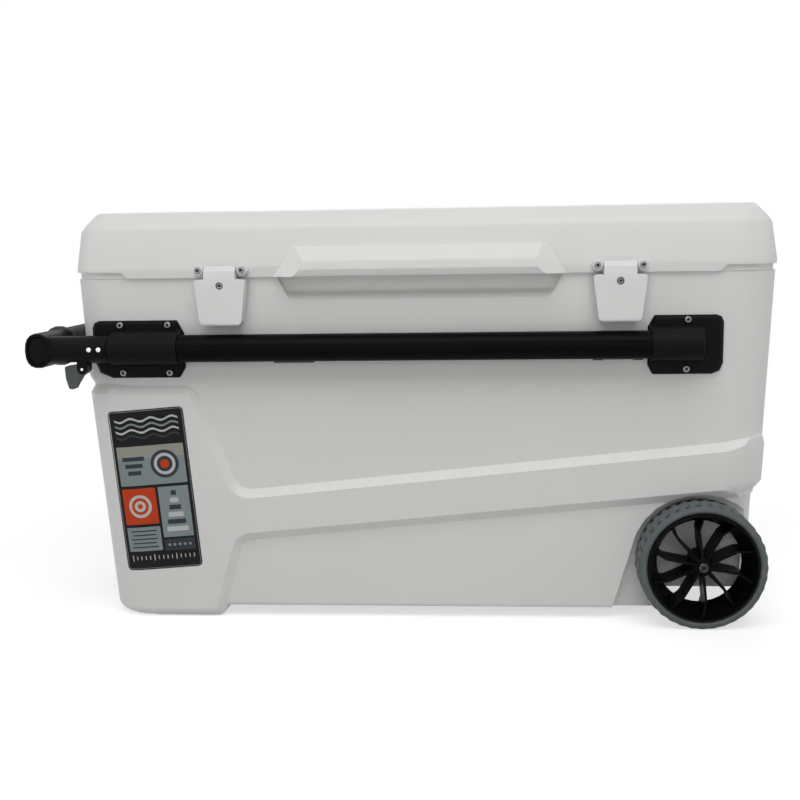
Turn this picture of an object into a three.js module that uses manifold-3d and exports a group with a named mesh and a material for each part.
// Hard cooler on two wheels with a pull-out tow handle, a hinged lid and two snap latches.
// Millimetres, +Z up. +X runs from the tow handle to the wheels, -Y is the side with the latches.
// The tub is drawn about its own middle; the last lines move the whole cooler so that the origin
// is on the floor under the middle of its overall box.
import * as THREE from "three";
import { mergeVertices } from "three/addons/utils/BufferGeometryUtils.js";
import Module from "manifold-3d";

const wasm = await Module();
wasm.setup();

// ---------------------------------------------------------------- driving dimensions
const gap = 0.3; // between two pieces that touch
const { PI, cos, sin, atan2, tan, sqrt, sign } = Math;
const beyond = 60; // how far a cutting shape runs past the piece that it cuts

// wheels
const wheelRadius = 81;
const wheelWidth = 54;

// tub
const tubHalfLength = 456; // at the rim
const tubHalfWidth = 210; // at the rim
const rimTop = 454.7; // height of the rim
const underside = 14; // height of the floor of the outer shell
const cornerRadius = 53; // in plan
const sideDraft = 0.035; // how far a side leans in for each mm down
const endDraft = 0.045; // the same at the two ends
const floorEdge = 6; // rounding between the outer shell's floor and sides
const shellWall = 4;
const foamThickness = 30; // between shell and liner
const linerWall = 3;
const flangeThick = 1.6; // the liner's rim
const basinFloor = 48; // height of the inside floor
const basinCorner = 24;

// places along the tub that the fittings are set out from
const handleEnd = -tubHalfLength;
const wheelEnd = tubHalfLength;
const wheelSetBack = 97; // of the axle from the wheel end
const wheelStandOut = 30; // of the wheels from the rim
const wheelX = wheelEnd - wheelSetBack;
const wheelOuterY = tubHalfWidth + wheelStandOut;

// tow handle
const tubeRadius = 17.75;
const tubeWall = 2.5;
const tubeHeight = 365;
const tubeStandOff = 18.64; // of the tube's axis from the tub's side
const tubeOffset = tubHalfWidth - sideDraft * (rimTop - tubeHeight) + tubeStandOff;
const innerTubeWall = 2;
const innerTubeSetBack = 206; // of its end inside the guide tube, from the wheel end
const innerTubeEnd = wheelEnd - innerTubeSetBack;
const crossbarReach = 34; // beyond the handle end
const crossbarX = handleEnd - crossbarReach;
const crossbarHalfThick = 17;
const crossbarHalfHigh = 22.5;
const crossbarPast = 18; // how far the crossbar's end passes the tube's axis
const crossbarOuterY = tubeOffset + crossbarPast;
const collarProud = 4.2; // bead round the corner fitting next to the grip
const collarPlace = 18; // middle of the bead, from the grip's end
const cornerOverlap = 55; // how far the corner fitting reaches along the tub
const cornerEnd = handleEnd + cornerOverlap;
const rivetPadLength = 25;
const rivetPadHalfHigh = 9.5;
const gripHalfLength = 141;
const gripSwell = 0.8; // the grip is thicker in its middle
const coreRadius = 9;
const coreEndWall = 8; // of the corner fitting beyond the end of the core
const plugInset = 4.5; // end plug, inside the crossbar's outline
const plugDepth = 6;

// release levers under the handle's corner fittings
const leverSetBack = 55; // of its pin behind the crossbar
const leverDrop = 25; // and below the tube's axis
const leverX = crossbarX + leverSetBack;
const leverZ = tubeHeight - leverDrop;
const leverPin = 2;
const leverHalfThick = 7;
const leverTip = 26; // below its pin
const leverReachBack = 24; // towards the grip
const lugThick = 3;
const lugRadius = 6.5;

// raised skirt: a pad round the handle end that stands on the floor, and a rising band to the wheels
const skirtProud = 8; // how far it stands out from the sides
const skirtBevel = 11; // width of its sloping edges
const bandTopAtMiddle = 187;
const bandTopSlope = 0.1; // rise of the band's upper edge for each mm towards the wheels
const bandBottomAtMiddle = 139;
const bandBottomSlope = 0.095;
const bandTopCorner = 32; // roundings where the band meets the pad
const bandBottomCorner = 24;
const padDrop = 61; // of the pad's upper edge below the tube's axis
const padTop = tubeHeight - padDrop;
const padCorner = 13;
const padWide = 153; // at its upper edge
const padInner = handleEnd + padWide;
const padLean = 0.387; // how far the pad's inner edge runs towards the wheels for each mm down
const padTopTuck = 5; // the pad's top edge rolls in by this much at the ends
const footWide = 159; // on the floor
const footStep = 19; // more at the underside
const footInner = handleEnd + footWide;
const footTop = footInner + footStep;
const footLean = 0.31; // how far the foot's inner edge runs towards the wheels for each mm up
const footEdge = 14; // rounding of the foot's lower edge
const padSetBack = 6; // the tub behind the pad lies this far inside the handle end above it
const padDraft = 0.076;
const padEndInset = 9; // the pad's face at the handle end, inside the rim
const bandEndInset = 11; // the band's face at the wheel end, inside the rim
const endStep = 9; // the wheel end below the band lies this far in

// lid
const lidEndOver = 1; // how far the lid passes the rim at the ends
const lidSideOver = 5; // and at the sides
const lidHalfLength = tubHalfLength + lidEndOver;
const lidHalfWidth = tubHalfWidth + lidSideOver;
const lidBase = rimTop + gap;
const lidHigh = 84; // to the edge round the flat top
const lidCamber = 4;
const lidBevelHigh = 24;
const lidShoulder = lidBase + lidHigh;
const lidCrown = lidShoulder + lidCamber;
const lidWaist = lidBase + 14; // height of its widest line
const lidBreak = lidShoulder - lidBevelHigh; // height where the side turns into the bevel
const lidBreakInset = 7;
const lidBevelInset = 28;
const lidCorner = cornerRadius + 1;
const lidLeastCorner = 18;
const lidWall = 3.5;
const lidRimWidth = 9; // thickness of the lid's lower edge
const lidPanel = 3; // thickness of the lid's inner panel
const lidPlugDepth = 8; // how far the inner panel reaches into the tub
const lidPan = 26; // width of the raised border of the inner panel
const lipHeight = 8; // finger lip at the lid's corners
const lipDepth = 4.5;
const lipLength = 76; // along the sides
const lipStart = lidHalfLength - lipLength;

// grab bar on the lid and the finger recess under it
const grabHalfTop = 159;
const grabHalfBottom = 185;
const grabHigh = 38;
const grabReach = 18; // in front of the lid
const grabEndSlope = 1.7; // how far its ends draw in for each mm forward
const recessHalfTop = 183;
const recessHalfBottom = 166;
const recessHigh = 30.7;
const recessDepth = 13;
const recessCorner = 12;
const recessBottom = rimTop - recessHigh;

// hand scoops in the end walls: [bottom, top, half width] of each
const handleScoopUnder = 30; // below the tube's axis
const handleScoopOver = 33; // above the tube's axis
const handleScoopHalfWide = 80;
const wheelScoopHigh = 44;
const wheelScoopHalfWide = 62;
const wheelScoopTop = rimTop - 18.7;
const handleScoop = [
  tubeHeight - handleScoopUnder,
  tubeHeight + handleScoopOver,
  handleScoopHalfWide,
];
const wheelScoop = [wheelScoopTop - wheelScoopHigh, wheelScoopTop, wheelScoopHalfWide];
const scoopDepth = 17;
const scoopFlare = 12; // how much wider each side is at its mouth

// step in the floor and the underside over the axle
const humpAhead = 109; // of the axle
const humpOver = 31; // above the axle
const archAhead = 57; // of the axle
const archUnder = 40; // below the axle
const humpStart = wheelX - humpAhead;
const humpTop = wheelRadius + humpOver;
const axleArchStart = wheelX - archAhead;
const axleArchTop = wheelRadius - archUnder;
const archSlope = 18;

// brackets for the guide tubes
const sleeveSetBack = 29; // of the sleeve's plate from the handle end
const sleeveLength = 121;
const sleeveStart = handleEnd + sleeveSetBack;
const sleeveEnd = sleeveStart + sleeveLength;
const sleeveLead = 29; // of the plate in front of the raised sleeve
const sleeveMouth = sleeveStart + sleeveLead;
const socketSetBack = 73; // of the end bracket's plate from the wheel end
const socketLength = 94;
const socketTube = 51; // how far the tube reaches into it
const socketRoofLength = 63; // of the raised socket, at its top
const socketEnd = wheelEnd - socketSetBack;
const socketStart = socketEnd - socketLength;
const socketTubeEnd = socketStart + socketTube;
const socketRoof = socketStart + socketRoofLength;
const socketSlope = 10; // run of its sloping end
const socketCorner = 11;
const bracketHalfHigh = 37.5;
const bracketDrop = 2.4; // its middle lies this far below the tube's axis
const bracketThick = 6;
const bracketBevel = 4; // how far the front is smaller all round
const sleeveWall = 2.2;
const sleeveFlank = 4; // how far the flanks run out to the plate
const saddleBridge = 2.5; // what joins a saddle's two tabs behind the tube
const saddleLip = 3; // the saddle sits this far below the tube
const leftSaddleFrom = sleeveEnd + 118;
const leftSaddleLength = 52;
const rightSaddleTo = socketStart - 6;
const rightSaddleLength = 63;
const saddleTab = 13; // length of each of the right saddle's two tabs
const saddles = [
  { side: "left", start: leftSaddleFrom, end: leftSaddleFrom + leftSaddleLength, notch: [] },
  {
    side: "right",
    start: rightSaddleTo - rightSaddleLength,
    end: rightSaddleTo,
    notch: [rightSaddleTo - rightSaddleLength + saddleTab, rightSaddleTo - saddleTab],
  },
];

// wheel wells, wheels and axle
const wellClear = 7; // round the wheel
const wheelClear = 6; // between the wheel and the well's inner wall
const wellRadius = wheelRadius + wellClear;
const wellFace = wheelOuterY - wheelWidth - wheelClear; // y of the well's inner wall
const wellLean = 0.3; // how far its inner edge runs towards the wheels for each mm up
const tyreThick = 11;
const rimRadius = wheelRadius - tyreThick;
const rimLip = 5; // width of the barrel's rolled outer lip
const rimBack = 4; // thickness of the barrel at its inner end
const throatFlare = 14; // from the barrel's narrowest place to its inner end
const throatDeep = 16; // how much narrower the barrel is there
const rimThroat = wheelWidth - throatFlare; // depth of that place behind the outer face
const rimThroatRadius = rimRadius - throatDeep;
const hubRadius = 12.5;
const hubDepth = 7; // of the hub's face behind the outer face
const bladeCount = 10;
const bladeThick = 2.6;
const bladeBow = 0.12; // how far a blade bows sideways, in radians about the axle
const bladeFront = 7; // depth of its front edge behind the outer face
const bladeBack = rimThroat + 6;
const lugCount = 36;
const lugDepth = 2;
const shoulderDrop = 2; // the tyre's side walls are this much smaller than its tread
const shoulderDeep = 5; // depth of the tread's edge behind the outer face
const axleRadius = 6;
const axleBoss = 12; // thickness of the wall that holds the axle
const channelClear = 4; // round the axle in its channel
const washerRadius = 13;
const washerThick = 2;
const screwHeadRadius = 7;
const screwHeadHigh = 4;

// latches
const latchSetBack = 204; // of each latch from its end of the tub
const latchX = [handleEnd + latchSetBack, wheelEnd - latchSetBack];
const latchPinHeight = lidBase + 9.5;
const latchPinOut = 10; // in front of the lid
const latchPinRadius = 2;
const lobeX = 28; // the latch's two screw bosses, from its middle
const lobeRadius = 7;
const lobeProud = 5.5; // in front of the pin
const platePast = 5; // the latch's back plate reaches past the bosses' middles by this much
const plateRise = 11; // and above the pin by this much
const plateThick = 3.1;
const knuckleWall = 3.2;
const flapHigh = 59;
const flapTop = lidBase - 2;
const flapBottom = flapTop - flapHigh;
const flapHalfTop = 33.5;
const flapHalfBottom = 26;
const flapProud = 9; // its face in front of the pin
const flapSkin = 3;
const flapRoof = 1.8; // thickness of its top, which passes over the post
const flapThick = 20;
const postHeight = rimTop - 9.7;
const postRadius = 4.2;
const postHole = 4.8;

// hinges
const hingeSetBack = 156; // of the outer hinges from the ends of the tub
const hingeX = [handleEnd + hingeSetBack, 0, wheelEnd - hingeSetBack];
const hingeOut = 7; // axis behind the lid's widest line
const hingeKnuckle = 5.5;
const hingePinRadius = 2;
const hingeHalf = 30;
const hingeMiddle = 14;
const hingePlate = 3;
const hingeCorner = 6;
const hingeTaper = 4; // a leaf is narrower at its far end by this much on each side
const hingeReachUp = 42;
const hingeReachDown = 40;

// drain
const drainRise = 22; // of the drain's middle above the inside floor
const drainZ = basinFloor + drainRise;
const drainBore = 8;
const drainTube = 11;
const drainFlange = 19;
const drainSpout = 14; // length of the spout outside the wall
const drainSeatDepth = 3;
const drainCapRadius = 16;
const drainCapDepth = 19;
const wingHalfLength = 14;
const wingHalfThick = 3;
const wingProud = 6;

// ---------------------------------------------------------------- finishes
const finish = (color, roughness, metalness = 0) =>
  new THREE.MeshStandardMaterial({ color, roughness, metalness });
const white = finish(0xe9e9e6, 0.45);
const linerWhite = finish(0xf2f2ef, 0.35);
const foamYellow = finish(0xe6d9a8, 0.9);
const blackPlastic = finish(0x161615, 0.5);
const blackMetal = finish(0x121211, 0.35, 0.6);
const gripGrey = finish(0x3a3e3d, 0.7);
const leverGrey = finish(0x4c5252, 0.5);
const tyreGrey = finish(0x6f7779, 0.8);
const steel = finish(0x8c8f90, 0.3, 1);

// ---------------------------------------------------------------- geometry tools
const V2 = (x, y) => new THREE.Vector2(x, y);
const V3 = (x, y, z) => new THREE.Vector3(x, y, z);

// Reverses the triangles of a closed geometry that is inside out.
function outward(geometry) {
  const g = geometry.index ? geometry.toNonIndexed() : geometry;
  const p = g.attributes.position;
  const [a, b, c] = [V3(), V3(), V3()];
  let volume = 0;
  for (let i = 0; i < p.count; i += 3) {
    a.fromBufferAttribute(p, i);
    b.fromBufferAttribute(p, i + 1);
    c.fromBufferAttribute(p, i + 2);
    volume += a.dot(b.cross(c));
  }
  if (volume < 0) {
    for (let i = 0; i < p.count; i += 3) {
      b.fromBufferAttribute(p, i + 1);
      c.fromBufferAttribute(p, i + 2);
      p.setXYZ(i + 1, c.x, c.y, c.z);
      p.setXYZ(i + 2, b.x, b.y, b.z);
    }
  }
  return g;
}

// A closed geometry as a solid that can be joined and cut.
function solid(geometry) {
  const g = outward(geometry).clone();
  g.deleteAttribute("normal");
  g.deleteAttribute("uv");
  const merged = mergeVertices(g, 1e-4);
  return new wasm.Manifold(
    new wasm.Mesh({
      numProp: 3,
      vertProperties: merged.attributes.position.array,
      triVerts: new Uint32Array(merged.index.array),
    }),
  );
}

// The geometry of a solid.
function geometryOf(shape) {
  const mesh = shape.getMesh();
  const g = new THREE.BufferGeometry();
  g.setAttribute("position", new THREE.BufferAttribute(new Float32Array(mesh.vertProperties), 3));
  g.setIndex(new THREE.BufferAttribute(new Uint32Array(mesh.triVerts), 1));
  const flat = g.toNonIndexed();
  flat.computeVertexNormals();
  return flat;
}

const joined = (...solids) => solids.reduce((all, next) => all.add(next));
const cut = (body, ...tools) => tools.reduce((left, tool) => left.subtract(tool), body);

// Corner points [x, y, radius] as an outline whose corners are rounded by arcs.
function rounded(corners, steps = 3) {
  const outline = [];
  corners.forEach(([x, y, radius = 0], i) => {
    const here = V2(x, y);
    if (!radius) {
      outline.push(here);
      return;
    }
    const before = corners[(i + corners.length - 1) % corners.length];
    const after = corners[(i + 1) % corners.length];
    const back = V2(before[0], before[1]).sub(here).normalize();
    const on = V2(after[0], after[1]).sub(here).normalize();
    const half = Math.acos(back.dot(on)) / 2;
    const centre = here.clone().addScaledVector(back.clone().add(on).normalize(), radius / sin(half));
    const start = here.clone().addScaledVector(back, radius / tan(half)).sub(centre);
    const end = here.clone().addScaledVector(on, radius / tan(half)).sub(centre);
    const sweep = atan2(start.cross(end), start.dot(end));
    for (let k = 0; k <= steps; k++) {
      outline.push(start.clone().rotateAround(V2(0, 0), (sweep * k) / steps).add(centre));
    }
  });
  return outline;
}

function disc(x, y, radius, steps = 16) {
  return Array.from({ length: steps }, (_, i) => {
    const a = (2 * PI * i) / steps;
    return V2(x + radius * cos(a), y + radius * sin(a));
  });
}

// Outlines pushed straight along one axis: (x, z) along Y, (y, z) along X, (x, y) along Z.
function extruded(outline, depth) {
  return new THREE.ExtrudeGeometry(new THREE.Shape(outline), { depth, bevelEnabled: false });
}
const alongY = (outline, y0, y1) =>
  solid(extruded(outline, y1 - y0).rotateX(PI / 2).translate(0, y1, 0));
const yzBasis = new THREE.Matrix4().makeBasis(V3(0, 1, 0), V3(0, 0, 1), V3(1, 0, 0));
const alongX = (outline, x0, x1) =>
  solid(extruded(outline, x1 - x0).applyMatrix4(yzBasis).translate(x0, 0, 0));
const alongZ = (outline, z0, z1) => solid(extruded(outline, z1 - z0).translate(0, 0, z0));

// A closed skin over rings with equally many points; flat() gives a ring's own plane for its cap.
function loft(rings, flat) {
  const n = rings[0].length;
  const points = [];
  const tri = (a, b, c) => points.push(a, b, c);
  for (let k = 0; k + 1 < rings.length; k++) {
    for (let i = 0; i < n; i++) {
      const j = (i + 1) % n;
      tri(rings[k][i], rings[k][j], rings[k + 1][j]);
      tri(rings[k][i], rings[k + 1][j], rings[k + 1][i]);
    }
  }
  const ends = [[rings[0], true], [rings[rings.length - 1], false]];
  for (const [ring, first] of ends) {
    const contour = ring.map(flat);
    const clockwise = THREE.ShapeUtils.isClockWise(contour);
    for (const [a, b, c] of THREE.ShapeUtils.triangulateShape(contour, [])) {
      if (first === clockwise) tri(ring[a], ring[b], ring[c]);
      else tri(ring[a], ring[c], ring[b]);
    }
  }
  return solid(new THREE.BufferGeometry().setFromPoints(points));
}

// A rounded rectangle in plan, from x0 to x1 and -halfWidth to halfWidth, at height z.
function planRing(z, x0, x1, halfWidth, radius, steps = 4) {
  const corners = [
    [x1 - radius, halfWidth - radius],
    [x0 + radius, halfWidth - radius],
    [x0 + radius, radius - halfWidth],
    [x1 - radius, radius - halfWidth],
  ];
  return corners.flatMap(([cx, cy], quarter) =>
    Array.from({ length: steps + 1 }, (_, i) => {
      const a = ((quarter + i / steps) * PI) / 2;
      return V3(cx + radius * cos(a), cy + radius * sin(a), z);
    }),
  );
}
const planLoft = (rings) => loft(rings, (p) => V2(p.x, p.y));

// A solid of revolution about the Y axis, from its closed half outline of [radius, y] points.
function turned(outline, steps = 36) {
  const points = outline.map(([r, y]) => V2(r, y));
  return solid(new THREE.LatheGeometry([...points, points[0]], steps));
}

function mirrored(geometry) {
  return outward(geometry.clone().scale(1, -1, 1));
}

// ---------------------------------------------------------------- the model's tree
const cooler = new THREE.Group();
function place(name, shape, material, parent = cooler) {
  const geometry = shape.isBufferGeometry ? shape : geometryOf(shape);
  const mesh = new THREE.Mesh(geometry, material);
  mesh.name = name;
  parent.add(mesh);
  return mesh;
}
// The same piece on both sides: the one named front is drawn, the back one is its mirror image.
function placePair(name, shape, material) {
  const front = geometryOf(shape);
  place(`${name}_front`, front, material);
  place(`${name}_back`, mirrored(front), material);
}

// ---------------------------------------------------------------- tub
const sideAt = (z) => tubHalfWidth - sideDraft * (rimTop - z);
const bandTopAt = (x) => bandTopAtMiddle + bandTopSlope * x;
const bandBottomAt = (x) => bandBottomAtMiddle + bandBottomSlope * x;
const padCrease = padTop + skirtBevel;
const bandEndTop = bandTopAt(tubHalfLength);
const bandEndBottom = bandBottomAt(tubHalfLength);

// Plan sections of the tub without its skirt, each side `inset` further in.
function tubRing(z, inset, steps = 4) {
  const down = rimTop - z;
  const pastPad = Math.max(0, padCrease - z);
  const padPart = z > padCrease ? 0 : padSetBack + (padDraft - endDraft) * pastPad;
  const belowBand = z < bandEndBottom ? endStep : 0;
  const x0 = -(tubHalfLength - endDraft * down - padPart - inset);
  const x1 = tubHalfLength - endDraft * down - belowBand - inset;
  return planRing(z, x0, x1, sideAt(z) - inset, cornerRadius - inset, steps);
}

function tubLoft(inset, bottom, top, steps) {
  const heights = [bandEndBottom - 1, bandEndBottom + skirtBevel, padCrease, padCrease + skirtBevel];
  const between = heights.filter((z) => z > bottom + floorEdge && z < top);
  return planLoft([
    tubRing(bottom, inset + floorEdge, steps),
    tubRing(bottom + floorEdge / 3, inset + floorEdge / 4, steps),
    tubRing(bottom + floorEdge, inset, steps),
    ...between.map((z) => tubRing(z, inset, steps)),
    tubRing(top, inset, steps),
  ]);
}

// How far from the middle the pad's face lies at the handle end.
const handleEndAt = (z) => tubHalfLength - padEndInset - padDraft * (padTop - z);

// Plan sections at the skirt's face.
function skirtRing(z, inset, wheelEndInset) {
  const x0 = inset - handleEndAt(Math.min(z, padTop));
  const x1 = tubHalfLength - wheelEndInset - inset;
  return planRing(z, x0, x1, sideAt(z) + skirtProud - inset, cornerRadius);
}

function skirtLoft() {
  const low = endDraft * (rimTop - bandEndBottom) + endStep;
  return planLoft([
    skirtRing(0, footEdge * 0.9, low),
    skirtRing(footEdge * 0.2, footEdge * 0.45, low),
    skirtRing(footEdge * 0.55, footEdge * 0.12, low),
    skirtRing(footEdge, 0, low),
    skirtRing(bandEndBottom - skirtBevel, 0, low),
    skirtRing(bandEndBottom + 1, 0, bandEndInset),
    skirtRing(bandEndTop - 1, 0, bandEndInset - 2.5),
    skirtRing(bandEndTop + skirtBevel, 0, bandEndInset + 0.5),
    skirtRing(padTop, 0, bandEndInset),
    skirtRing(padCrease, padTopTuck, bandEndInset - 1),
    skirtRing(padCrease + 1, padTopTuck, bandEndInset - 1),
  ]);
}

// The skirt's outline seen from the side, and the same outline grown by its bevel.
function skirtOutline() {
  const far = tubHalfLength + beyond;
  const footRun = footLean * (bandBottomAtMiddle - underside);
  const lowerX = (footTop + footRun) / (1 - footLean * bandBottomSlope);
  const padRun = padLean * (padTop - bandTopAtMiddle);
  const upperX = (padInner + padRun) / (1 + padLean * bandTopSlope);
  return rounded(
    [
      [-far, -beyond],
      [footInner, -beyond],
      [footInner, 1],
      [footTop, underside],
      [lowerX, bandBottomAt(lowerX), bandBottomCorner],
      [far, bandBottomAt(far)],
      [far, bandTopAt(far)],
      [upperX, bandTopAt(upperX), bandTopCorner],
      [padInner, padTop, padCorner],
      [-far, padTop],
    ],
    4,
  );
}

function grown(outline, distance) {
  const turn = THREE.ShapeUtils.isClockWise(outline) ? 1 : -1;
  return outline.map((p, i) => {
    const before = outline[(i + outline.length - 1) % outline.length];
    const after = outline[(i + 1) % outline.length];
    const a = p.clone().sub(before).normalize();
    const b = after.clone().sub(p).normalize();
    const out = V2(-(a.y + b.y), a.x + b.x).multiplyScalar(turn).normalize();
    return p.clone().addScaledVector(out, distance / Math.max(0.3, sqrt((1 + a.dot(b)) / 2)));
  });
}

// A block with the skirt's outline that widens by the bevel between the skirt's face and the sides.
function skirtBlock() {
  const outline = skirtOutline();
  const past = 1; // both faces of the block lie this far past the surfaces they make
  const rate = skirtBevel / skirtProud;
  const narrow = grown(outline, -past * rate);
  const wide = grown(outline, skirtBevel + past * rate);
  const ring = (points, out, side) =>
    points.map((p) => V3(p.x, side * (sideAt(p.y) + out), p.y));
  return loft(
    [
      ring(narrow, skirtProud + past, -1),
      ring(wide, -past, -1),
      ring(wide, -past, 1),
      ring(narrow, skirtProud + past, 1),
    ],
    (p) => V2(p.x, p.z),
  );
}

// Hollows that the outer shell goes round. grow makes the same hollow larger by a wall.
// The wells are arched over the wheels, lean out to the floor and are open at the wheel end.
function wheelWell(grow) {
  const r = wellRadius + grow;
  const steps = grow ? 8 : 12;
  const start = PI - Math.atan(wellLean) / 2;
  const arch = Array.from({ length: steps + 1 }, (_, i) => {
    const a = start * (1 - i / steps);
    return V2(wheelX + r * cos(a), wheelRadius + r * sin(a));
  });
  const foot = -beyond;
  const low = V2(arch[0].x - wellLean * (arch[0].y - foot), foot);
  const outline = [low, ...arch, V2(wheelX + r, foot)];
  const deep = alongY(outline, -tubHalfWidth - beyond, -(wellFace - grow));
  return joined(deep, solid(mirrored(geometryOf(deep))));
}

function axleArch(grow) {
  const far = tubHalfLength + beyond;
  const outline = [
    V2(axleArchStart - grow, -beyond),
    V2(axleArchStart - grow, underside),
    V2(axleArchStart + archSlope - grow, axleArchTop + grow),
    V2(far, axleArchTop + grow),
    V2(far, -beyond),
  ];
  return alongY(outline, -tubHalfWidth, tubHalfWidth);
}

function axleChannel(grow) {
  const r = axleRadius + channelClear + grow;
  const top = Array.from({ length: 7 }, (_, i) => {
    const a = PI - (PI * i) / 6;
    return V2(wheelX + r * cos(a), wheelRadius + r * sin(a));
  });
  const outline = [V2(wheelX - r, -beyond), ...top, V2(wheelX + r, -beyond)];
  const reach = wellFace - axleBoss + grow;
  return alongY(outline, -reach, reach);
}

function fingerRecess(grow) {
  const front = rounded([
    [-recessHalfTop - grow, rimTop + 1],
    [-recessHalfBottom - grow, recessBottom - grow, recessCorner],
    [recessHalfBottom + grow, recessBottom - grow, recessCorner],
    [recessHalfTop + grow, rimTop + 1],
  ]);
  const face = sideAt(recessBottom);
  const far = -tubHalfWidth - beyond;
  const back = -(face - recessDepth - grow);
  const section = rounded([
    [far, rimTop + 1],
    [far, recessBottom - grow],
    [-face - 1, recessBottom - grow],
    [back, recessBottom + recessCorner - grow, recessCorner / 2],
    [back, rimTop + 1],
  ]);
  const reach = recessHalfTop + beyond;
  return alongY(front, far, 0).intersect(alongX(section, -reach, reach));
}

// Hand scoop in an end wall: end -1 is behind the tow handle, 1 is the wheel end.
function handScoop(end, [low, high, halfWide], grow) {
  const face = tubHalfLength - endDraft * (rimTop - low);
  const inner = face - scoopDepth - grow;
  const far = face + beyond;
  const section = rounded([
    [far, high + 8 + grow],
    [inner + 6, high + grow, 6],
    [inner, high - 10 + grow, 6],
    [inner, low + 14 - grow, 10],
    [face + 2, low - 6 - grow],
    [far, low - 6 - grow],
  ]).map((p) => V2(end * p.x, p.y));
  const mouth = halfWide + scoopFlare + grow;
  const plan = [
    V2(end * far, -mouth),
    V2(end * (face + 1), -mouth),
    V2(end * inner, -halfWide - grow),
    V2(end * inner, halfWide + grow),
    V2(end * (face + 1), mouth),
    V2(end * far, mouth),
  ];
  return alongY(section, -mouth - 1, mouth + 1).intersect(alongZ(plan, low - beyond, high + beyond));
}

function shellHollows(grow) {
  return joined(
    wheelWell(grow),
    axleArch(grow),
    axleChannel(grow),
    fingerRecess(grow),
    handScoop(-1, handleScoop, grow),
    handScoop(1, wheelScoop, grow),
  );
}

const drainBoreSolid = (radius) =>
  alongX(disc(0, drainZ, radius), handleEnd - beyond, handleEnd + 2 * beyond);
const flangeBottom = rimTop - flangeThick;

// Space between the outer shell and the liner's outer side, less `clear` all round.
function foamSpace(clear, top) {
  const inset = shellWall + clear;
  const space = tubLoft(inset, underside + inset, top, 3);
  const boss = alongY(disc(wheelX, wheelRadius, axleRadius + inset), -wellFace, wellFace);
  return cut(space, shellHollows(inset), boss);
}

// The basin that holds the load; grow gives the liner's outer side.
function basin(grow, top) {
  const inset = shellWall + foamThickness + linerWall - grow;
  const ring = (z, more) => {
    const down = endDraft * (rimTop - z);
    const x = tubHalfLength - down - inset - more;
    return planRing(z, -x, x, sideAt(z) - inset - more, basinCorner, 3);
  };
  const floor = basinFloor - grow;
  const whole = planLoft([
    ring(floor, 16),
    ring(floor + 4, 5),
    ring(floor + 14, 0),
    ring(top, 0),
  ]);
  const hump = rounded([
    [humpStart + grow, 0],
    [humpStart + 10 + grow, humpTop - grow, 12],
    [tubHalfLength, humpTop - grow],
    [tubHalfLength, 0],
  ]);
  return cut(whole, alongY(hump, -tubHalfWidth, tubHalfWidth));
}

function outerShell() {
  const body = tubLoft(0, underside, rimTop, 4);
  const skirt = skirtLoft().intersect(skirtBlock());
  const axleBore = alongY(disc(wheelX, wheelRadius, axleRadius + gap), -wellFace - 1, wellFace + 1);
  const seat = drainSeatDepth - handleEndAt(drainZ);
  const drainSeat = alongX(disc(0, drainZ, drainFlange + 2), handleEnd, seat);
  return cut(
    joined(body, skirt),
    shellHollows(0),
    foamSpace(0, rimTop + 1),
    axleBore,
    drainSeat,
    drainBoreSolid(drainTube + gap),
  );
}

function innerLiner() {
  const inset = shellWall + gap;
  const flange = planLoft([flangeBottom, rimTop].map((z) => tubRing(z, inset, 3)));
  const walls = joined(basin(linerWall, rimTop), flange);
  const recess = fingerRecess(shellWall + gap);
  return cut(walls, basin(0, rimTop + 1), recess, drainBoreSolid(drainTube + gap));
}

function bodyFoam() {
  return cut(
    foamSpace(gap, flangeBottom - gap),
    basin(linerWall + gap, rimTop + 1),
    drainBoreSolid(drainTube + gap),
  );
}

place("outer_shell", outerShell(), white);
place("inner_liner", innerLiner(), linerWhite);
place("body_foam", bodyFoam(), foamYellow);

// ---------------------------------------------------------------- drain
function drainParts() {
  const face = drainSeatDepth - handleEndAt(drainZ);
  const wall = shellWall + foamThickness + linerWall;
  const inside = endDraft * (rimTop - drainZ) + wall - tubHalfLength;
  const tube = alongX(disc(0, drainZ, drainTube), face - 2, inside - 2);
  const flange = alongX(disc(0, drainZ, drainFlange), face - 2, face - gap);
  const spout = alongX(disc(0, drainZ, drainTube), face - drainSpout, face - 1);
  const bore = alongX(disc(0, drainZ, drainBore), face - beyond, inside + beyond);
  place("drain_fitting", cut(joined(tube, flange, spout), bore), blackPlastic);

  const skirt = alongX(disc(0, drainZ, drainCapRadius), face - drainCapDepth, face - 2 - gap);
  const hollow = alongX(disc(0, drainZ, drainTube + gap), face - drainSpout - gap, face);
  const wing = alongX(
    [
      V2(-wingHalfLength, drainZ - wingHalfThick),
      V2(wingHalfLength, drainZ - wingHalfThick),
      V2(wingHalfLength, drainZ + wingHalfThick),
      V2(-wingHalfLength, drainZ + wingHalfThick),
    ],
    face - drainCapDepth - wingProud,
    face - drainCapDepth + 1,
  );
  place("drain_cap", joined(cut(skirt, hollow), wing), blackPlastic);
}
drainParts();

// ---------------------------------------------------------------- lid
// Outline of the lid: height and how far it lies inside the widest line.
const lidOutline = [
  [lidBase, 1],
  [lidWaist, 0],
  [lidBreak, lidBreakInset],
  [lidBreak + 8, lidBreakInset + 5],
  [lidShoulder - 1, lidBevelInset - 1],
  [lidShoulder + 1, lidBevelInset + 3],
  [lidCrown, lidHalfWidth / 2],
];
const lidRing = (z, inset) =>
  planRing(
    z,
    -lidHalfLength + inset,
    lidHalfLength - inset,
    lidHalfWidth - inset,
    Math.max(lidLeastCorner, lidCorner - inset),
  );

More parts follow.
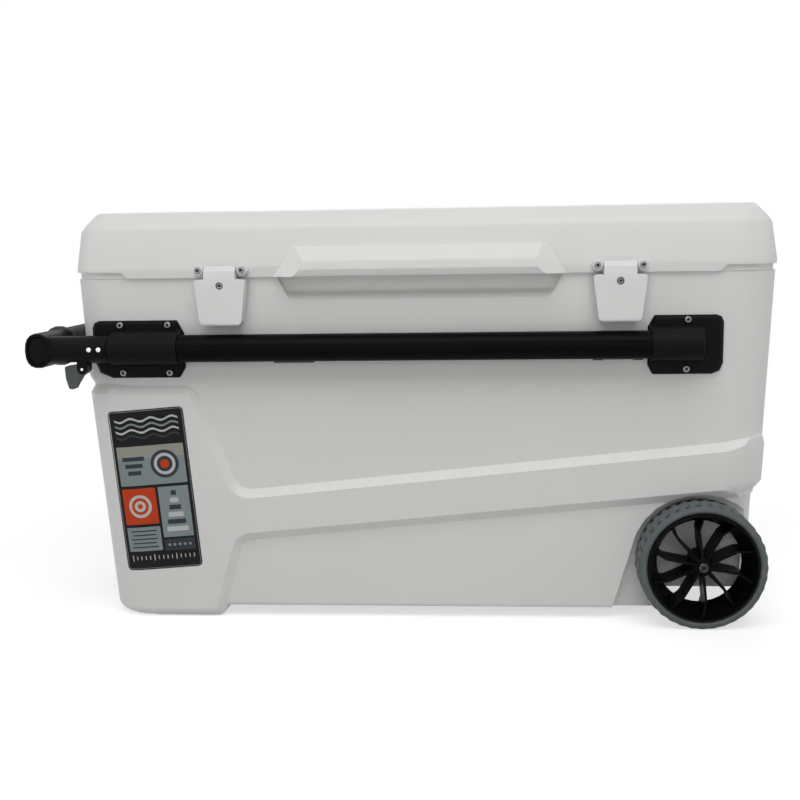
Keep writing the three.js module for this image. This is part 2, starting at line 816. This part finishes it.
// Inside of the lid's skin: a thick lower edge, then an even wall.
function lidSpace(clear, bottom) {
  const wall = lidWall + clear;
  return planLoft([
    lidRing(bottom, lidRimWidth + clear),
    lidRing(lidWaist - 2 + clear, lidRimWidth + clear),
    lidRing(lidWaist + 1 + clear, wall + 0.2),
    lidRing(lidBreak - 1, wall + lidBreakInset),
    lidRing(lidShoulder - 8, wall + lidBevelInset - 6),
    lidRing(lidShoulder - wall, wall + lidBevelInset + 2),
  ]);
}

// The lid's lower edge is cut back at its corners and ends as a lip for the fingers.
function cornerLip() {
  const top = lidBase + lipHeight;
  const keep = planLoft([lidRing(lidBase - 2, lipDepth), lidRing(top + 1, lipDepth)]);
  const far = lidHalfLength + beyond;
  const side = (end) =>
    alongY(
      [
        V2(end * (lipStart - lipHeight / 2), lidBase - 1),
        V2(end * (lipStart - lipHeight / 2), lidBase),
        V2(end * (lipStart + lipHeight / 2), top),
        V2(end * far, top),
        V2(end * far, lidBase - 1),
      ],
      -lidHalfWidth - beyond,
      lidHalfWidth + beyond,
    );
  return cut(joined(side(-1), side(1)), keep);
}

// The bar's ends are hipped: they draw in as the bar comes forward.
function grabBar() {
  const face = lidHalfWidth;
  const grabTop = lidBase + grabHigh;
  const front = (y) => {
    const draw = grabEndSlope * (-face - y);
    const corners = [
      [-grabHalfBottom + draw, lidBase],
      [grabHalfBottom - draw, lidBase],
      [grabHalfTop - draw * 0.8, grabTop, 6],
      [-grabHalfTop + draw * 0.8, grabTop, 6],
    ];
    return rounded(corners).map((p) => V3(p.x, y, p.y));
  };
  const section = rounded([
    [8 - face, lidBase],
    [3 - face - grabReach, lidBase, 2],
    [-face - grabReach, lidBase + 9, 6],
    [1.5 - face - grabReach, lidBase + 20, 8],
    [-face - 2, grabTop, 6],
    [8 - face, grabTop + 3],
  ]);
  const bar = loft([front(6 - face), front(-face - grabReach - 1)], (p) => V2(p.x, p.z));
  return bar.intersect(alongX(section, -grabHalfBottom - beyond, grabHalfBottom + beyond));
}

function lidShell() {
  const skin = planLoft(lidOutline.map(([z, inset]) => lidRing(z, inset)));
  return cut(joined(skin, grabBar()), lidSpace(0, lidBase - 1), cornerLip());
}

function lidLiner() {
  const mouth = shellWall + foamThickness + linerWall + 4;
  const x = tubHalfLength - mouth;
  const y = tubHalfWidth - mouth;
  const plug = (z, more) => planRing(z, more - x, x - more, y - more, basinCorner - 4);
  const panel = planLoft([lidBase, lidBase + lidPanel].map((z) => lidRing(z, lidRimWidth + gap)));
  const bottom = lidBase - lidPlugDepth;
  const raised = planLoft([plug(bottom, 5), plug(bottom + 3, 1), plug(lidBase + 1, 0)]);
  const pan = planLoft([plug(bottom - 1, lidPan), plug(bottom + 5, lidPan + 8)]);
  return cut(joined(panel, raised), pan);
}

const lid = new THREE.Group();
cooler.add(lid);
place("lid_shell", lidShell(), white, lid);
place("lid_liner", lidLiner(), linerWhite, lid);
place("lid_foam", lidSpace(gap, lidBase + lidPanel + gap), foamYellow, lid);

// ---------------------------------------------------------------- hinges
const hingeY = lidHalfWidth + hingeOut;
const hingeRound = (r, x0, x1) => alongX(disc(hingeY, lidBase, r, 12), x0, x1);

function lidLeaf(x) {
  const face = lidHalfWidth + gap;
  const notchTop = lidBase + 9;
  const outline = rounded([
    [x - hingeHalf + hingeTaper, lidBase + hingeReachUp, hingeCorner],
    [x + hingeHalf - hingeTaper, lidBase + hingeReachUp, hingeCorner],
    [x + hingeHalf, notchTop],
    [x + hingeMiddle, notchTop],
    [x + hingeMiddle, lidBase + 1],
    [x - hingeMiddle, lidBase + 1],
    [x - hingeMiddle, notchTop],
    [x - hingeHalf, notchTop],
  ]);
  const plate = alongY(outline, face, face + hingePlate);
  return joined(plate, hingeRound(hingeKnuckle, x - hingeMiddle, x + hingeMiddle));
}

function tubLeaf(x) {
  const face = tubHalfWidth + gap;
  const outline = rounded([
    [x - hingeHalf, lidBase - 2],
    [x + hingeHalf, lidBase - 2],
    [x + hingeHalf - hingeTaper, lidBase - hingeReachDown, hingeCorner],
    [x - hingeHalf + hingeTaper, lidBase - hingeReachDown, hingeCorner],
  ]);
  const web = [
    V2(face, lidBase - 1.5),
    V2(face, lidBase - 12),
    V2(hingeY, lidBase - 5),
    V2(hingeY, lidBase - 1.5),
  ];
  const arms = [-1, 1].map((side) => {
    const ends = [x + side * (hingeMiddle + gap), x + side * hingeHalf].sort((a, b) => a - b);
    return joined(alongX(web, ...ends), hingeRound(hingeKnuckle, ...ends));
  });
  return joined(alongY(outline, face, face + hingePlate), ...arms);
}

hingeX.forEach((x, i) => {
  const label = ["left", "middle", "right"][i];
  const pinHole = hingeRound(hingePinRadius + gap, x - hingeHalf - 1, x + hingeHalf + 1);
  place(`hinge_lid_leaf_${label}`, cut(lidLeaf(x), pinHole), white, lid);
  place(`hinge_tub_leaf_${label}`, cut(tubLeaf(x), pinHole), white);
  place(`hinge_pin_${label}`, hingeRound(hingePinRadius, x - hingeHalf - 1, x + hingeHalf + 1), steel);
});

// ---------------------------------------------------------------- latches
const latchY = -(lidHalfWidth + latchPinOut);
const latchBack = -(lidHalfWidth + gap);
const flapFront = latchY - flapProud;
const flapBack = flapFront + flapThick;

// The piece screwed to the lid: a flat plate with a round boss at each end that holds the pin.
function latchBar(x) {
  const half = lobeX + platePast;
  const plate = alongY(
    rounded([
      [x - half, latchPinHeight - 8, 5],
      [x + half, latchPinHeight - 8, 5],
      [x + half - 2, latchPinHeight + plateRise, 6],
      [x - half + 2, latchPinHeight + plateRise, 6],
    ]),
    latchBack - plateThick,
    latchBack,
  );
  const lobes = [-lobeX, lobeX].map((offset) => {
    const ring = (radius, y) =>
      disc(x + offset, latchPinHeight, radius, 12).map((p) => V3(p.x, y, p.y));
    const rings = [
      ring(lobeRadius, latchBack),
      ring(lobeRadius, latchY - lobeProud + 2),
      ring(lobeRadius - 1.2, latchY - lobeProud),
    ];
    return loft(rings, (p) => V2(p.x, p.z));
  });
  return joined(plate, ...lobes);
}

// The flap: a neck that turns on the pin, and a hollow plate with a hole for the post.
function latchFlap(x) {
  const half = lobeX - lobeRadius - 0.8;
  const outline = rounded([
    [x - flapHalfTop, flapTop, 4],
    [x - flapHalfBottom, flapBottom, 7],
    [x + flapHalfBottom, flapBottom, 7],
    [x + flapHalfTop, flapTop, 4],
  ]);
  const shoulder = V2(latchY + 4.6, flapTop);
  const profile = rounded([
    [flapBack, flapTop - 9],
    [shoulder.x, shoulder.y],
    [latchY - 2, flapTop + 8],
    [flapFront, flapTop, 5],
    [flapFront, flapBottom, 3],
    [flapBack, flapBottom],
  ]);
  const block = alongY(outline, flapFront - 5, flapBack + 2).intersect(
    alongX(profile, x - flapHalfTop - 5, x + flapHalfTop + 5),
  );
  const hollow = alongY(
    [
      V2(x - flapHalfTop + flapSkin, flapTop - flapRoof),
      V2(x - flapHalfBottom + flapSkin, flapBottom - 1),
      V2(x + flapHalfBottom - flapSkin, flapBottom - 1),
      V2(x + flapHalfTop - flapSkin, flapTop - flapRoof),
    ],
    flapFront + flapSkin,
    flapBack + 1,
  );
  const hole = alongY(disc(x, postHeight, postHole, 14), flapFront - 1, flapBack);
  const knuckleRadius = latchPinRadius + knuckleWall;
  const knuckle = alongX(disc(latchY, latchPinHeight, knuckleRadius, 14), x - half, x + half);
  const neck = alongX(
    [
      V2(latchY - 1, latchPinHeight + knuckleRadius - 0.1),
      V2(latchY - 7.5, latchPinHeight - 1),
      V2(flapFront, flapTop),
      shoulder,
      V2(shoulder.x, latchPinHeight),
    ],
    x - half,
    x + half,
  );
  return joined(cut(block, hollow, hole), knuckle, neck);
}

function latchPost(x) {
  const face = -(sideAt(postHeight) + gap);
  const stem = alongY(disc(x, postHeight, postRadius), flapFront + flapSkin + 0.5, face);
  return joined(stem, alongY(disc(x, postHeight, postRadius + 4), face - 1.6, face));
}

latchX.forEach((x, i) => {
  const label = ["left", "right"][i];
  const along = (radius, half) => alongX(disc(latchY, latchPinHeight, radius, 10), x - half, x + half);
  const pinHole = along(latchPinRadius + gap, lobeX + 3);
  place(`latch_bar_${label}`, cut(latchBar(x), pinHole), white, lid);
  place(`latch_pin_${label}`, along(latchPinRadius, lobeX + 2), steel, lid);
  place(`latch_flap_${label}`, cut(latchFlap(x), pinHole), white, lid);
  place(`latch_post_${label}`, latchPost(x), steel);
});

// ---------------------------------------------------------------- guide tubes and their brackets
// Brackets are drawn with the tube's axis as origin and leaned to lie on the drafted side.
const faceDistance = (tubeOffset - sideAt(tubeHeight)) * cos(Math.atan(sideDraft));
const bracketBack = faceDistance - gap;
const bracketFront = bracketBack - bracketThick;
const boreRadius = tubeRadius + gap;
const sleeveRadius = boreRadius + sleeveWall;
const plateLow = -bracketHalfHigh - bracketDrop; // edges of the brackets' plates
const plateHigh = bracketHalfHigh - bracketDrop;

function ontoSide(shape) {
  const g = geometryOf(shape);
  g.rotateX(Math.atan(sideDraft)).translate(0, -tubeOffset, tubeHeight);
  return solid(g);
}

// A plate with sloping edges, from its corners [x, y, radius]: the front is smaller all round.
function bracketPlate(corners) {
  const sharp = corners.map(([x, y]) => V2(x, y));
  const level = (shrink, y) => {
    const moved = grown(sharp, -shrink);
    const inset = corners.map(([, , radius], i) => [
      moved[i].x,
      moved[i].y,
      Math.max(1, radius - shrink),
    ]);
    return rounded(inset, 2).map((p) => V3(p.x, y, p.y));
  };
  return loft(
    [
      level(bracketBevel, bracketFront),
      level(0, bracketFront + bracketBevel),
      level(0, bracketBack),
    ],
    (p) => V2(p.x, p.z),
  );
}

// Section of the raised sleeve: round over the tube, with flanks that run out to the plate.
function sleeveSection() {
  const foot = sleeveRadius + sleeveFlank;
  const arc = Array.from({ length: 9 }, (_, i) => {
    const a = PI / 2 + (PI * i) / 8;
    return V2(sleeveRadius * cos(a), sleeveRadius * sin(a));
  });
  return [V2(bracketFront + 2, foot), ...arc, V2(bracketFront + 2, -foot)];
}

const tubeBore = (x0, x1) => alongX(disc(0, 0, boreRadius, 20), x0, x1);

function sleeveBracket() {
  const corners = [
    [sleeveStart, plateLow, 24],
    [sleeveEnd - 8, plateLow, 3],
    [sleeveEnd, plateLow + 13, 3],
    [sleeveEnd, plateHigh - 17, 3],
    [sleeveEnd - 9, plateHigh, 3],
    [sleeveStart, plateHigh, 9],
  ];
  const sleeve = alongX(sleeveSection(), sleeveMouth, sleeveEnd - 3);
  const bore = tubeBore(sleeveStart - 1, sleeveEnd + 1);
  return ontoSide(cut(joined(bracketPlate(corners), sleeve), bore));
}

// The raised socket closes over the tube's end with a sloping end wall between rounded corners.
function endBracket() {
  const corners = [
    [socketStart, plateLow + 12, 3],
    [socketStart + 6, plateLow, 3],
    [socketEnd, plateLow, 14],
    [socketEnd, plateHigh, 9],
    [socketStart + 8, plateHigh, 3],
    [socketStart, plateHigh - 14, 3],
  ];
  const level = (y, end) => {
    const half = sleeveRadius + sleeveFlank;
    const outline = rounded([
      [socketStart + 2, -half],
      [end, -half, socketCorner],
      [end, half, socketCorner],
      [socketStart + 2, half],
    ]);
    return outline.map((p) => V3(p.x, y, p.y));
  };
  const plan = loft(
    [level(bracketFront + 2, socketRoof + socketSlope), level(-sleeveRadius - 1, socketRoof)],
    (p) => V2(p.x, p.z),
  );
  const roof = alongX(sleeveSection(), socketStart + 1, socketEnd).intersect(plan);
  const bore = tubeBore(socketStart - 1, socketTubeEnd + gap);
  return ontoSide(cut(joined(bracketPlate(corners), roof), bore));
}

function tubeSaddle({ start, end, notch }) {
  const low = -tubeRadius - saddleLip;
  const high = tubeRadius - saddleLip;
  const section = [
    V2(bracketBack, low),
    V2(bracketBack, high),
    V2(bracketBack - 7, high),
    V2(bracketBack - 9, low),
  ];
  const block = cut(alongX(section, start, end), tubeBore(start - 1, end + 1));
  if (!notch.length) return ontoSide(block);
  const front = bracketBack - saddleBridge;
  const room = [V2(front, low - 1), V2(front, high + 1), V2(-beyond, high + 1), V2(-beyond, low - 1)];
  return ontoSide(cut(block, alongX(room, ...notch)));
}

function tube(radius, wall, x0, x1) {
  const ring = (r) => disc(-tubeOffset, tubeHeight, r, 20);
  return cut(alongX(ring(radius), x0, x1), alongX(ring(radius - wall), x0 - 1, x1 + 1));
}

placePair("sleeve_bracket", sleeveBracket(), blackPlastic);
placePair("end_bracket", endBracket(), blackPlastic);
for (const saddle of saddles) {
  placePair(`tube_saddle_${saddle.side}`, tubeSaddle(saddle), leverGrey);
}
placePair("guide_tube", tube(tubeRadius, tubeWall, cornerEnd + gap, socketTubeEnd), blackMetal);

// ---------------------------------------------------------------- tow handle
const innerTubeRadius = tubeRadius - tubeWall - gap;
const innerTubeStart = crossbarX + crossbarHalfThick + 8;

// An oval section of the crossbar, wider or narrower than its usual size by `more`.
function ovalRing(y, more, steps = 18) {
  const power = 2 / 2.4;
  return Array.from({ length: steps }, (_, i) => {
    const a = (2 * PI * i) / steps;
    const [c, s] = [cos(a), sin(a)];
    const x = (crossbarHalfThick + more) * sign(c) * Math.abs(c) ** power;
    const z = (crossbarHalfHigh + more) * sign(s) * Math.abs(s) ** power;
    return V3(crossbarX + x, y, tubeHeight + z);
  });
}
const ovalLoft = (sections) =>
  loft(sections.map(([y, more]) => ovalRing(y, more)), (p) => V2(p.x, p.z));

const besideLever = leverHalfThick + gap;
const leverPinHole = alongY(
  disc(leverX, leverZ, leverPin + gap, 8),
  -tubeOffset - beyond,
  -tubeOffset + beyond,
);

// The socket for the grip's core, with its bead and its recess for the end plug.
function cornerSocket() {
  const outer = -crossbarOuterY;
  const inner = -gripHalfLength - gap;
  const shape = ovalLoft([
    [outer, -1.6],
    [outer + 1.2, -0.4],
    [outer + 4, 0],
    [inner - collarPlace - 15, 0],
    [inner - collarPlace - 8, collarProud * 0.7],
    [inner - collarPlace, collarProud],
    [inner - collarPlace + 8, collarProud * 0.7],
    [inner, 0],
  ]);
  const coreHole = alongY(disc(crossbarX, tubeHeight, coreRadius + gap), outer + coreEndWall, 0);
  const plugRoom = ovalLoft([
    [outer - 1, gap - plugInset],
    [outer + plugDepth, gap - plugInset],
  ]);
  return { shape, hollows: [coreHole, plugRoom] };
}

// A flat raised pad with round ends, bent over the arm, that the two rivets sit on.
function rivetPad() {
  const [x0, x1] = [cornerEnd - 2 - rivetPadLength, cornerEnd - 2];
  const [z0, z1] = [tubeHeight - rivetPadHalfHigh, tubeHeight + rivetPadHalfHigh];
  const radius = rivetPadHalfHigh - 1.5;
  const outline = rounded([
    [x0, z0, radius],
    [x1, z0, radius],
    [x1, z1, radius],
    [x0, z1, radius],
  ], 2);
  const front = alongY(outline, -tubeOffset - beyond, -tubeOffset);
  return alongX(disc(-tubeOffset, tubeHeight, tubeRadius + 0.9, 20), x0, x1).intersect(front);
}

// A lug on each side of the release lever carries its pin.
function leverLugs() {
  const lugTop = tubeHeight - tubeRadius + 6;
  const below = Array.from({ length: 7 }, (_, i) => {
    const a = PI + (PI * i) / 6;
    return V2(leverX + lugRadius * cos(a), leverZ + lugRadius * sin(a));
  });
  const outline = [V2(leverX - lugRadius, lugTop), ...below, V2(leverX + lugRadius, lugTop)];
  return [
    alongY(outline, -tubeOffset - besideLever - lugThick, -tubeOffset - besideLever),
    alongY(outline, -tubeOffset + besideLever, -tubeOffset + besideLever + lugThick),
  ];
}

function handleCorner() {
  const socket = cornerSocket();
  const around = (radius, x0, x1) => alongX(disc(-tubeOffset, tubeHeight, radius, 20), x0, x1);
  const arm = around(tubeRadius, crossbarX, cornerEnd);
  const tubeHole = around(innerTubeRadius + gap, innerTubeStart - gap, cornerEnd + 1);
  const slotTop = tubeHeight - innerTubeRadius + 4;
  const slot = alongY(
    [
      V2(leverX - leverReachBack - 8, leverZ),
      V2(leverX + 8, leverZ),
      V2(leverX + 8, slotTop),
      V2(leverX - leverReachBack - 8, slotTop),
    ],
    -tubeOffset - besideLever,
    -tubeOffset + besideLever,
  );
  const body = joined(socket.shape, arm, rivetPad(), ...leverLugs());
  return cut(body, tubeHole, ...socket.hollows, leverPinHole, slot);
}

function releaseLever() {
  const top = tubeHeight - tubeRadius - 1;
  const outline = rounded([
    [leverX - leverReachBack, top - 2.5, 3],
    [leverX - 6, top],
    [leverX + 5.5, top, 3],
    [leverX + 6, leverZ - 4.5, 4],
    [leverX - 2, leverZ - 9, 6],
    [leverX - 9, leverZ - leverTip + 6],
    [leverX - 12.5, leverZ - leverTip, 3],
    [leverX - 19, leverZ - leverTip, 3],
    [leverX - leverReachBack + 1, leverZ - leverTip / 2 + 1, 20],
  ]);
  const blade = alongY(outline, -tubeOffset - leverHalfThick, -tubeOffset + leverHalfThick);
  return cut(blade, leverPinHole);
}

// A cap that closes the end of the corner fitting's socket, a little below its rim.
function endPlug() {
  const face = -crossbarOuterY + 1.2;
  return ovalLoft([
    [face, -plugInset - 1],
    [face + 0.8, -plugInset],
    [face + plugDepth - 1.5, -plugInset],
  ]);
}

function leverPivot() {
  const reach = besideLever + lugThick + 0.5;
  return alongY(disc(leverX, leverZ, leverPin, 8), -tubeOffset - reach, -tubeOffset + reach);
}

placePair("inner_tube", tube(innerTubeRadius, innerTubeWall, innerTubeStart, innerTubeEnd), steel);
placePair("handle_corner", handleCorner(), blackPlastic);
placePair("grip_end_plug", endPlug(), blackPlastic);
placePair("release_lever", releaseLever(), leverGrey);
placePair("lever_pin", leverPivot(), steel);

function gripSleeve() {
  const outside = ovalLoft([
    [-gripHalfLength, -1],
    [-gripHalfLength + 3, 0],
    [0, gripSwell],
    [gripHalfLength - 3, 0],
    [gripHalfLength, -1],
  ]);
  const reach = gripHalfLength + 1;
  return cut(outside, alongY(disc(crossbarX, tubeHeight, coreRadius + gap), -reach, reach));
}
const coreEnd = crossbarOuterY - coreEndWall - gap;
place("grip_core", alongY(disc(crossbarX, tubeHeight, coreRadius), -coreEnd, coreEnd), steel);
place("grip_sleeve", gripSleeve(), gripGrey);

// ---------------------------------------------------------------- wheels
// A wheel is drawn about the Y axis with its outer face at y = 0 and its inner face at wheelWidth.
// The tyre's tread has two rows of lugs, set half a step apart.
function tyre() {
  const bead = rimRadius + gap;
  const side = wheelRadius - shoulderDrop;
  const steps = lugCount * 2;
  const section = (i) => {
    const near = i % 2 ? wheelRadius - lugDepth : wheelRadius;
    const far = i % 2 ? wheelRadius : wheelRadius - lugDepth;
    return [
      [bead, 1],
      [side, 1],
      [near, shoulderDeep],
      [near, wheelWidth / 2 - 3],
      [far, wheelWidth / 2 + 3],
      [far, wheelWidth - shoulderDeep],
      [side, wheelWidth - 1],
      [bead, wheelWidth - 1],
    ];
  };
  const rings = Array.from({ length: steps }, (_, i) => {
    const a = (2 * PI * i) / steps - PI / 2; // a lug of the outer row stands straight down
    return section(i).map(([r, y]) => V3(r * cos(a), y, r * sin(a)));
  });
  const points = [];
  rings.forEach((ring, k) => {
    const next = rings[(k + 1) % steps];
    ring.forEach((p, i) => {
      const j = (i + 1) % ring.length;
      points.push(p, ring[j], next[j], p, next[j], next[i]);
    });
  });
  return solid(new THREE.BufferGeometry().setFromPoints(points));
}

// The rim's barrel: a deep dish with a rolled outer lip, narrowest at rimThroat behind the face.
function barrel() {
  return turned([
    [rimRadius - 2.5, 0],
    [rimRadius, 1],
    [rimRadius, wheelWidth - 2],
    [rimRadius - rimBack, wheelWidth - 2],
    [rimThroatRadius, rimThroat],
    [rimRadius - rimLip, 6],
  ]);
}

// One spoke: a thin blade as deep as the barrel, bowed a little between the hub and the barrel.
function blade(turn) {
  const inner = hubRadius - 3;
  const outer = rimRadius - rimBack;
  const steps = 3;
  const rings = Array.from({ length: steps + 1 }, (_, k) => {
    const t = k / steps;
    const r = inner + (outer - inner) * t;
    const heading = turn + bladeBow * sin(PI * t);
    const half = (bladeThick / 2) * (1.35 - 0.35 * t);
    const front = bladeFront + 3 * sin(PI * t);
    const corners = [[-half, front], [half, front], [half, bladeBack], [-half, bladeBack]];
    return corners.map(([across, y]) =>
      V3(r * cos(heading) - across * sin(heading), y, r * sin(heading) + across * cos(heading)),
    );
  });
  return loft(rings, (p) => V2(p.x * sin(turn) - p.z * cos(turn), p.y));
}

function hub() {
  const bore = axleRadius + gap;
  const outline = [
    [bore, hubDepth],
    [hubRadius - 3, hubDepth],
    [hubRadius, hubDepth + 3],
    [hubRadius + 2, wheelWidth - 1],
    [bore, wheelWidth - 1],
  ];
  return turned(outline, 18);
}

function wheelRim() {
  const turns = Array.from({ length: bladeCount }, (_, i) => (2 * PI * i) / bladeCount - PI / 2);
  return joined(barrel(), hub(), ...turns.map(blade));
}

function wheels() {
  const rim = geometryOf(wheelRim());
  const ring = geometryOf(tyre());
  [-1, 1].forEach((side) => {
    const label = side < 0 ? "front" : "back";
    const wheel = new THREE.Group();
    wheel.position.set(wheelX, side * wheelOuterY, wheelRadius);
    cooler.add(wheel);
    place(`wheel_rim_${label}`, side < 0 ? rim : mirrored(rim), blackPlastic, wheel);
    place(`tyre_${label}`, side < 0 ? ring : mirrored(ring), tyreGrey, wheel);
  });
}
wheels();

// The axle runs right through; a screw holds each wheel on and a washer keeps it off the tub.
const hubFace = wheelOuterY - hubDepth;
const axleRound = (radius, y0, y1) => alongY(disc(wheelX, wheelRadius, radius), y0, y1);

function axleScrew() {
  const outline = [
    [0, gap],
    [screwHeadRadius, gap],
    [screwHeadRadius, 1.5],
    [screwHeadRadius - 2.5, screwHeadHigh - 0.4],
    [0, screwHeadHigh],
  ];
  const head = geometryOf(turned(outline, 20));
  return solid(head.rotateX(PI).translate(wheelX, -hubFace, wheelRadius));
}

function axleWasher() {
  const inner = -wellFace - gap;
  const plate = axleRound(washerRadius, inner - washerThick, inner);
  return cut(plate, axleRound(axleRadius + gap, inner - washerThick - 1, inner + 1));
}

place("axle", axleRound(axleRadius, gap - hubFace, hubFace - gap), steel);
placePair("axle_screw", axleScrew(), steel);
placePair("axle_washer", axleWasher(), steel);

// ---------------------------------------------------------------- the cooler in its own frame
const handleReach = crossbarX - crossbarHalfThick - collarProud;
cooler.position.x = -(lidHalfLength + handleReach) / 2;

export default cooler;
